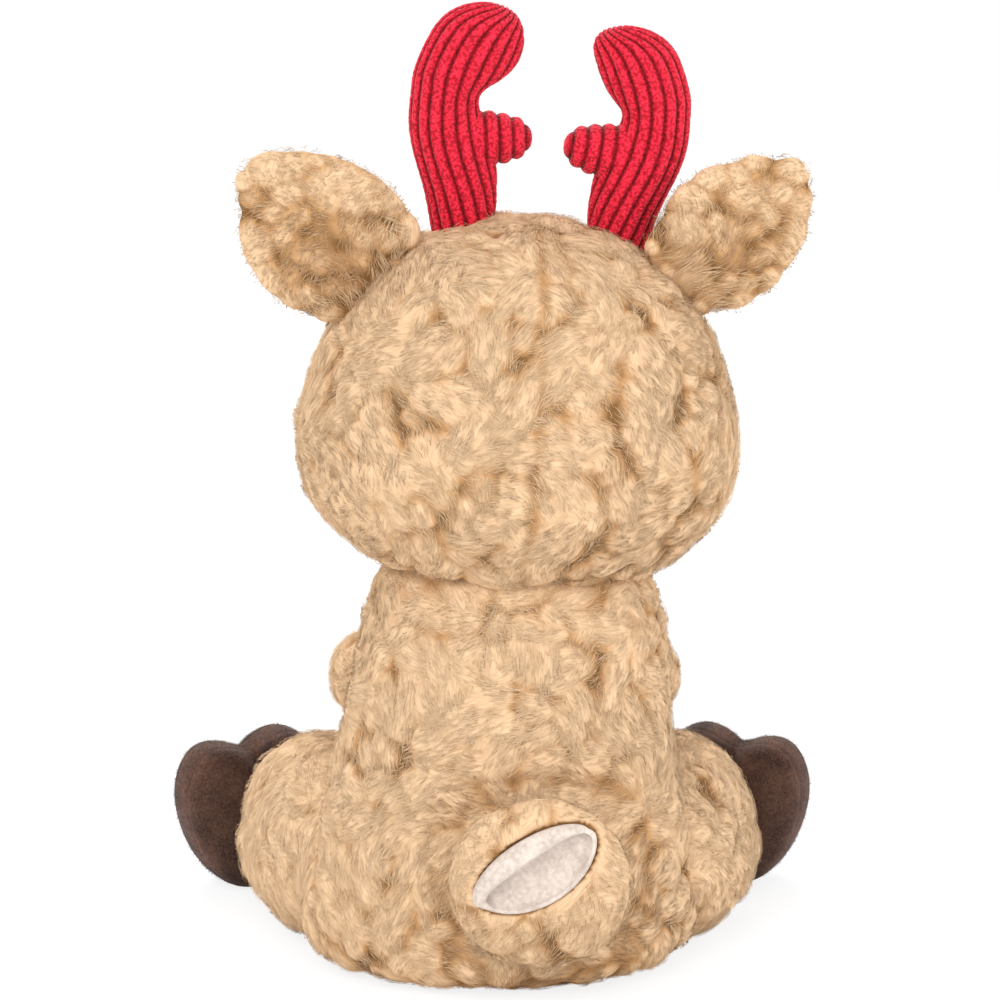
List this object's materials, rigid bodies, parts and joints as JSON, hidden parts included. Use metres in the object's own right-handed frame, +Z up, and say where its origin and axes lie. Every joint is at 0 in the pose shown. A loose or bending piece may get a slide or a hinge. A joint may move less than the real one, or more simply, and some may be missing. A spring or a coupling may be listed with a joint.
{
  "type": "plush deer",
  "caption": "Sitting plush deer with corduroy antlers, soft ears, cloven hooves and a fluffy tail, whose sewn limbs, head, ears and tail swing and spring back.",
  "frame": {"origin": "on the flat underside of the seat, in the body's middle plane below the neck", "axes": "+Z up, -Y the way the toy faces, +X the toy's own left"},
  "size_m": [0.2097, 0.1663, 0.2959],
  "materials": {
    "long_pile": "long soft pile, locks lying in all directions",
    "pale_pile": "short brushed pile",
    "white_pile": "short velvety pile",
    "brown_pile": "short brushed pile with a dull sheen",
    "red_corduroy": "ribbed corduroy, ribs along the beam",
    "fibre_fill": "loose polyester fibre",
    "pouch_cloth": "plain woven cloth",
    "nose_flock": "flocked",
    "eye_plastic": "polished",
    "washer_plastic": "moulded"
  },
  "bodies": {
    "body": {"torso_skin": "long_pile", "torso_stuffing": "fibre_fill", "bean_pouch": "pouch_cloth"},
    "head": {"head_skin": "long_pile", "head_stuffing": "fibre_fill", "muzzle": "pale_pile", "nose": "nose_flock", "nose_washer": "washer_plastic", "eye_left": "eye_plastic", "eye_right": "eye_plastic", "eye_washer_left": "washer_plastic", "eye_washer_right": "washer_plastic"},
    "ear_left": {"ear_left_back": "long_pile", "ear_left_lining": "pale_pile"},
    "ear_right": {"ear_right_back": "long_pile", "ear_right_lining": "pale_pile"},
    "antler_left": {"antler_left_cover": "red_corduroy", "antler_left_filling": "fibre_fill"},
    "antler_right": {"antler_right_cover": "red_corduroy", "antler_right_filling": "fibre_fill"},
    "arm_left": {"arm_left_skin": "long_pile", "arm_left_filling": "fibre_fill", "fore_hoof_left": "brown_pile"},
    "arm_right": {"arm_right_skin": "long_pile", "arm_right_filling": "fibre_fill", "fore_hoof_right": "brown_pile"},
    "leg_left": {"leg_left_skin": "long_pile", "leg_left_filling": "fibre_fill", "hind_hoof_left": "brown_pile"},
    "leg_right": {"leg_right_skin": "long_pile", "leg_right_filling": "fibre_fill", "hind_hoof_right": "brown_pile"},
    "tail": {"tail_fur": "long_pile", "tail_lining": "white_pile"}
  },
  "joints": [
    {"name": "neck_nod", "type": "hinge", "parent": "body", "child": "head", "pos_m": [0, -0.002, 0.10405], "axis": [1, 0, 0], "range_deg": [-12, 15], "stiffness_Nm_per_rad": 0.6},
    {"name": "ear_left_flex", "type": "hinge", "parent": "head", "child": "ear_left", "pos_m": [0.03966, 0.00576, 0.21996], "axis": [0.5039, 0.0428, -0.8627], "range_deg": [-20, 20], "stiffness_Nm_per_rad": 0.03},
    {"name": "ear_right_flex", "type": "hinge", "parent": "head", "child": "ear_right", "pos_m": [-0.05751, -0.00379, 0.21249], "axis": [0.6605, 0.0702, 0.7475], "range_deg": [-20, 20], "stiffness_Nm_per_rad": 0.03},
    {"name": "antler_left_flex", "type": "hinge", "parent": "head", "child": "antler_left", "pos_m": [0.01324, -0.01286, 0.22491], "axis": [0.9916, 0.0976, 0.0851], "range_deg": [-15, 15], "stiffness_Nm_per_rad": 0.06},
    {"name": "antler_right_flex", "type": "hinge", "parent": "head", "child": "antler_right", "pos_m": [-0.0344, -0.01754, 0.22125], "axis": [0.9916, 0.0976, 0.0851], "range_deg": [-15, 15], "stiffness_Nm_per_rad": 0.06},
    {"name": "shoulder_left_raise", "type": "hinge", "parent": "body", "child": "arm_left", "pos_m": [0.04118, -0.02156, 0.08344], "axis": [-1, 0, 0], "range_deg": [0, 35], "stiffness_Nm_per_rad": 0.1},
    {"name": "shoulder_right_raise", "type": "hinge", "parent": "body", "child": "arm_right", "pos_m": [-0.04118, -0.02156, 0.08344], "axis": [-1, 0, 0], "range_deg": [0, 35], "stiffness_Nm_per_rad": 0.1},
    {"name": "hip_left_spread", "type": "hinge", "parent": "body", "child": "leg_left", "pos_m": [0.04501, -0.00801, 0.0305], "axis": [0, 0, 1], "range_deg": [-10, 30], "stiffness_Nm_per_rad": 0.3},
    {"name": "hip_right_spread", "type": "hinge", "parent": "body", "child": "leg_right", "pos_m": [-0.04501, -0.00801, 0.0305], "axis": [0, 0, -1], "range_deg": [-10, 30], "stiffness_Nm_per_rad": 0.3},
    {"name": "tail_flex", "type": "hinge", "parent": "body", "child": "tail", "pos_m": [-0.01201, 0.04299, 0.03606], "axis": [1, 0, 0], "range_deg": [-12, 12], "stiffness_Nm_per_rad": 0.06}
  ]
}
